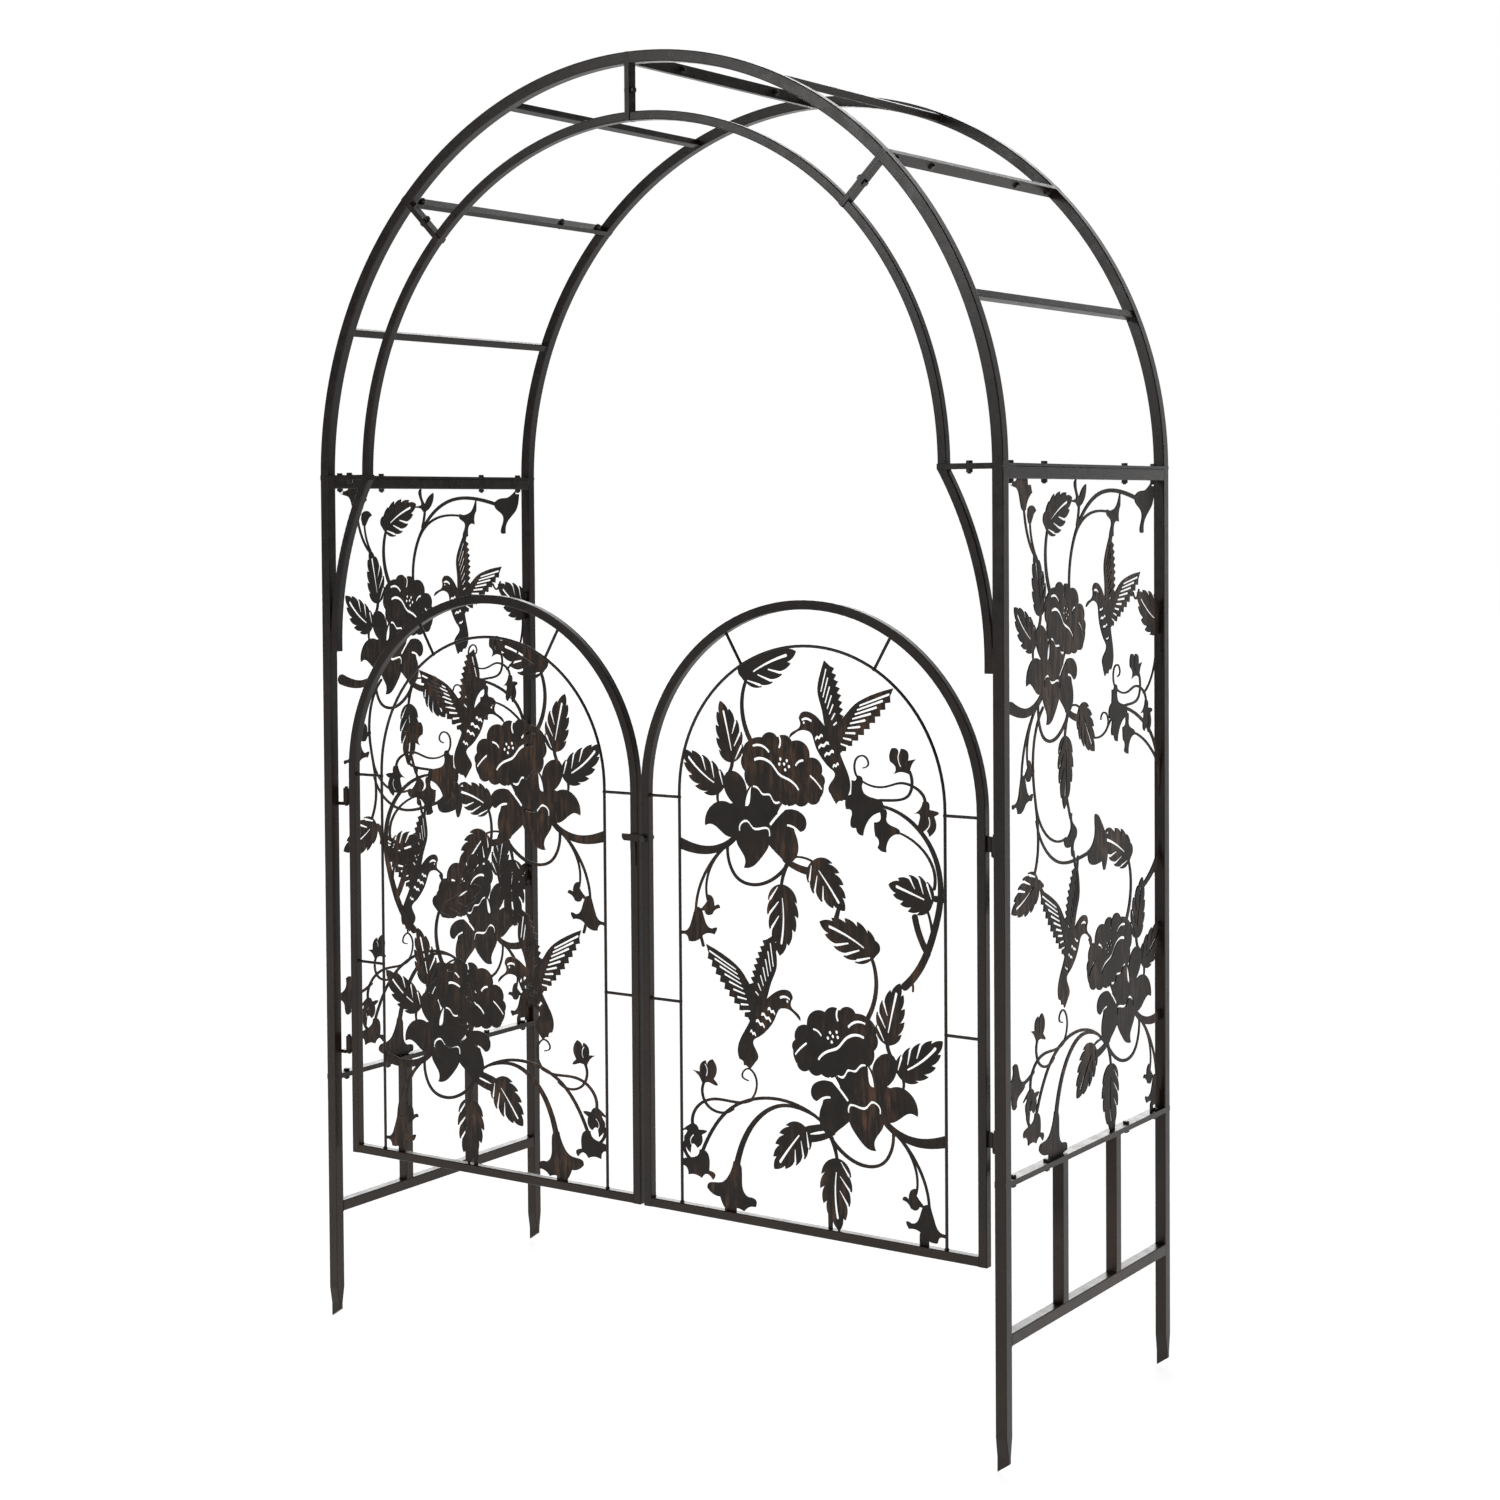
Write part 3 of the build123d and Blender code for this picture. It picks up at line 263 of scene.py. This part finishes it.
def side_welds(bm):
    """Seams of the leg frames and side panels, across the tubes."""
    reach = TUBE / 2 - 0.0016
    inner = DEPTH / 2 - TUBE
    rail_top, rail_under = RAIL_Z + TUBE / 2, RAIL_Z - TUBE / 2
    post_seams = (rail_top, rail_under, JOINT_Z - FLAT, JOINT_Z + FLAT, SPRING - TUBE)
    seams = [(e * inner, z) for e in (-1, 1) for z in post_seams]
    for k in (-1, 1):
        baluster = k * (DEPTH - TUBE) / 6
        seams += [(baluster + e * TUBE / 2, z) for e in (-1, 1)
                  for z in (rail_top, JOINT_Z - FLAT)]
    for s in (-1, 1):
        x = s * POST_X
        for y, z in seams:
            run_bead(bm, (x - reach, y, z), (x + reach, y, z))
        face = s * (POST_X - TUBE / 2)
        foot = BRACE_FOOT + BEAD
        for e in (-1, 1):
            run_bead(bm, (face, e * inner, RAIL_Z - reach), (face, e * inner, RAIL_Z + reach),
                     FINE_BEAD)
            y = FRONT + TUBE / 2 + e * GATE_TUBE / 2
            run_bead(bm, (face, y, foot), (face, y, foot + BRACE_SEAM))


def crossbar_welds(bm):
    """Seams all round the arch crossbars, where they meet the front and back arches."""
    side = BAR_TUBE / 2
    for k in range(4):
        a = math.radians(22.5 + 45.0 * k)
        out = Vector((math.cos(a), 0, math.sin(a))) * side
        along = Vector((-math.sin(a), 0, math.cos(a))) * side
        for y in (FRONT + TUBE, -FRONT - TUBE):
            middle = Vector((POST_X * math.cos(a), y, SPRING + POST_X * math.sin(a)))
            for e in (-1, 1):
                run_bead(bm, middle + along * e - out, middle + along * e + out)
                run_bead(bm, middle + out * e - along, middle + out * e + along)


def frame_welds(bm):
    side_welds(bm)
    crossbar_welds(bm)


def gate_welds(s):
    """Corner seams, rod feet and tie ends of one leaf: s is -1 on the left, 1 on the right."""
    def fill(bm):
        mid = s * GATE_MID
        front = GATE_Y - GATE_TUBE / 2 + 0.0005
        for e in (-1, 1):
            x, rod_x = mid + e * GATE_REACH, mid + e * ROD_R
            run_bead(bm, (x, GATE_Y - 0.006, GATE_FLOOR), (x, GATE_Y + 0.006, GATE_FLOOR))
            run_bead(bm, (x, front, GATE_FLOOR - 0.0135), (x, front, GATE_FLOOR - 0.0015), FACE_BEAD)
            drop_bead(bm, (rod_x, GATE_Y, GATE_FLOOR), ROD_FOOT_KNOB)
            for z in TIE_ROWS:
                drop_bead(bm, (x, GATE_Y, z), TIE_KNOBS["stile"])
                drop_bead(bm, (rod_x, GATE_Y, z), TIE_KNOBS["rod"])
        for turn in TIE_ANGLES:
            a = math.radians(turn)
            for r in (ROD_R, GATE_REACH):
                drop_bead(bm, (mid + r * math.cos(a), GATE_Y, GATE_SPRING + r * math.sin(a)),
                          TIE_KNOBS["top"])
    return fill


weld_piece("frame_weld_beads", "frame", frame_welds)
weld_piece("left_gate_weld_beads", "left_gate", gate_welds(-1))
weld_piece("right_gate_weld_beads", "right_gate", gate_welds(1))

# ------------------------------------------------------------ floor
FLOOR_HALF = 30.0
FLOOR_Z = -0.001
FLOOR_GREY = (0.93, 0.93, 0.93)
FLOOR_GLOW = 0.75


def floor_paint(name):
    """Matt white paint that also glows a little, as a lit backdrop does."""
    n = Nodes(name)
    tone = n.ramp(n.noise(3.0, 3.0), [(0.3, tuple(c * 0.99 for c in FLOOR_GREY)),
                                      (0.7, FLOOR_GREY)])
    return n.set(Base_Color=tone, Roughness=0.8, Specular_IOR_Level=0.1,
                 Emission_Color=(1.0, 1.0, 1.0, 1.0), Emission_Strength=FLOOR_GLOW)


def studio_floor():
    bm = bmesh.new()
    bmesh.ops.create_grid(bm, x_segments=1, y_segments=1, size=FLOOR_HALF,
                          matrix=Matrix.Translation((0, 0, FLOOR_Z)))
    mesh = bpy.data.meshes.new("studio_floor")
    bm.to_mesh(mesh)
    bm.free()
    mesh.materials.append(floor_paint("floor_paint"))
    floor = bpy.data.objects.new("studio_floor", mesh)
    bpy.context.collection.objects.link(floor)


studio_floor()

# ------------------------------------------------------------ light
SKY_AXIS = (-0.45, 0.85, -0.20)     # towards the brightest part of the backdrop
SKY_FADE = (0.48, 0.98)             # how near to that axis the light begins and is full
SKY_DIM, SKY_BRIGHT = 0.06, 4.4


def sweep_sky():
    """White backdrop: full light from behind the arch, a dim room in front of it."""
    world = bpy.data.worlds.new("studio")
    bpy.context.scene.world = world
    world.use_nodes = True
    tree = world.node_tree
    back = tree.nodes["Background"]
    way = tree.nodes.new("ShaderNodeTexCoord")
    facing = tree.nodes.new("ShaderNodeVectorMath")
    facing.operation = "DOT_PRODUCT"
    facing.inputs[1].default_value = SKY_AXIS
    fade = tree.nodes.new("ShaderNodeMapRange")
    fade.interpolation_type = "SMOOTHSTEP"
    for key, value in zip(("From Min", "From Max", "To Min", "To Max"),
                          (*SKY_FADE, SKY_DIM, SKY_BRIGHT)):
        fade.inputs[key].default_value = value
    seen = tree.nodes.new("ShaderNodeLightPath")
    choose = tree.nodes.new("ShaderNodeMix")
    choose.inputs["B"].default_value = 1.0
    tree.links.new(way.outputs["Generated"], facing.inputs[0])
    tree.links.new(facing.outputs["Value"], fade.inputs["Value"])
    tree.links.new(seen.outputs["Is Camera Ray"], choose.inputs["Factor"])
    tree.links.new(fade.outputs["Result"], choose.inputs["A"])
    tree.links.new(choose.outputs["Result"], back.inputs["Strength"])
    back.inputs["Color"].default_value = (1.0, 1.0, 1.0, 1)


def soft_box(name, at, aim, size, power):
    """Rectangular soft light at one point, aimed at another."""
    data = bpy.data.lights.new(name, "AREA")
    data.shape = "RECTANGLE"
    data.size, data.size_y = size
    data.energy = power
    lamp = bpy.data.objects.new(name, data)
    bpy.context.collection.objects.link(lamp)
    lamp.location = at
    lamp.rotation_euler = (Vector(aim) - Vector(at)).to_track_quat("-Z", "Y").to_euler()


sweep_sky()
soft_box("key", (-1.5, -4.0, 2.7), (0.4, -0.3, 1.9), (1.6, 0.9), 42)
soft_box("fill", (4.8, -1.2, 1.2), (0.4, 0, 0.8), (1.2, 2.2), 6)
bpy.context.scene.view_settings.view_transform = "Standard"

# ------------------------------------------------------------ camera
CAMERA_AT = (2.41947, -3.61709, 1.43955)
CAMERA_YAW, CAMERA_DIP, CAMERA_ROLL = 0.60439, 0.02873, -0.0074     # radians
CAMERA_LENS, CAMERA_SENSOR = 60.63, 36.0                            # millimetres
CAMERA_SHIFT = (0.03749, -0.11064)

cam_data = bpy.data.cameras.new("camera")
cam_data.sensor_width = CAMERA_SENSOR
cam_data.lens = CAMERA_LENS
cam_data.shift_x, cam_data.shift_y = CAMERA_SHIFT
cam = bpy.data.objects.new("camera", cam_data)
bpy.context.collection.objects.link(cam)
cam.matrix_world = (Matrix.Translation(CAMERA_AT) @ Matrix.Rotation(CAMERA_YAW, 4, "Z")
                    @ Matrix.Rotation(math.pi / 2 - CAMERA_DIP, 4, "X")
                    @ Matrix.Rotation(CAMERA_ROLL, 4, "Z"))
bpy.context.scene.camera = cam
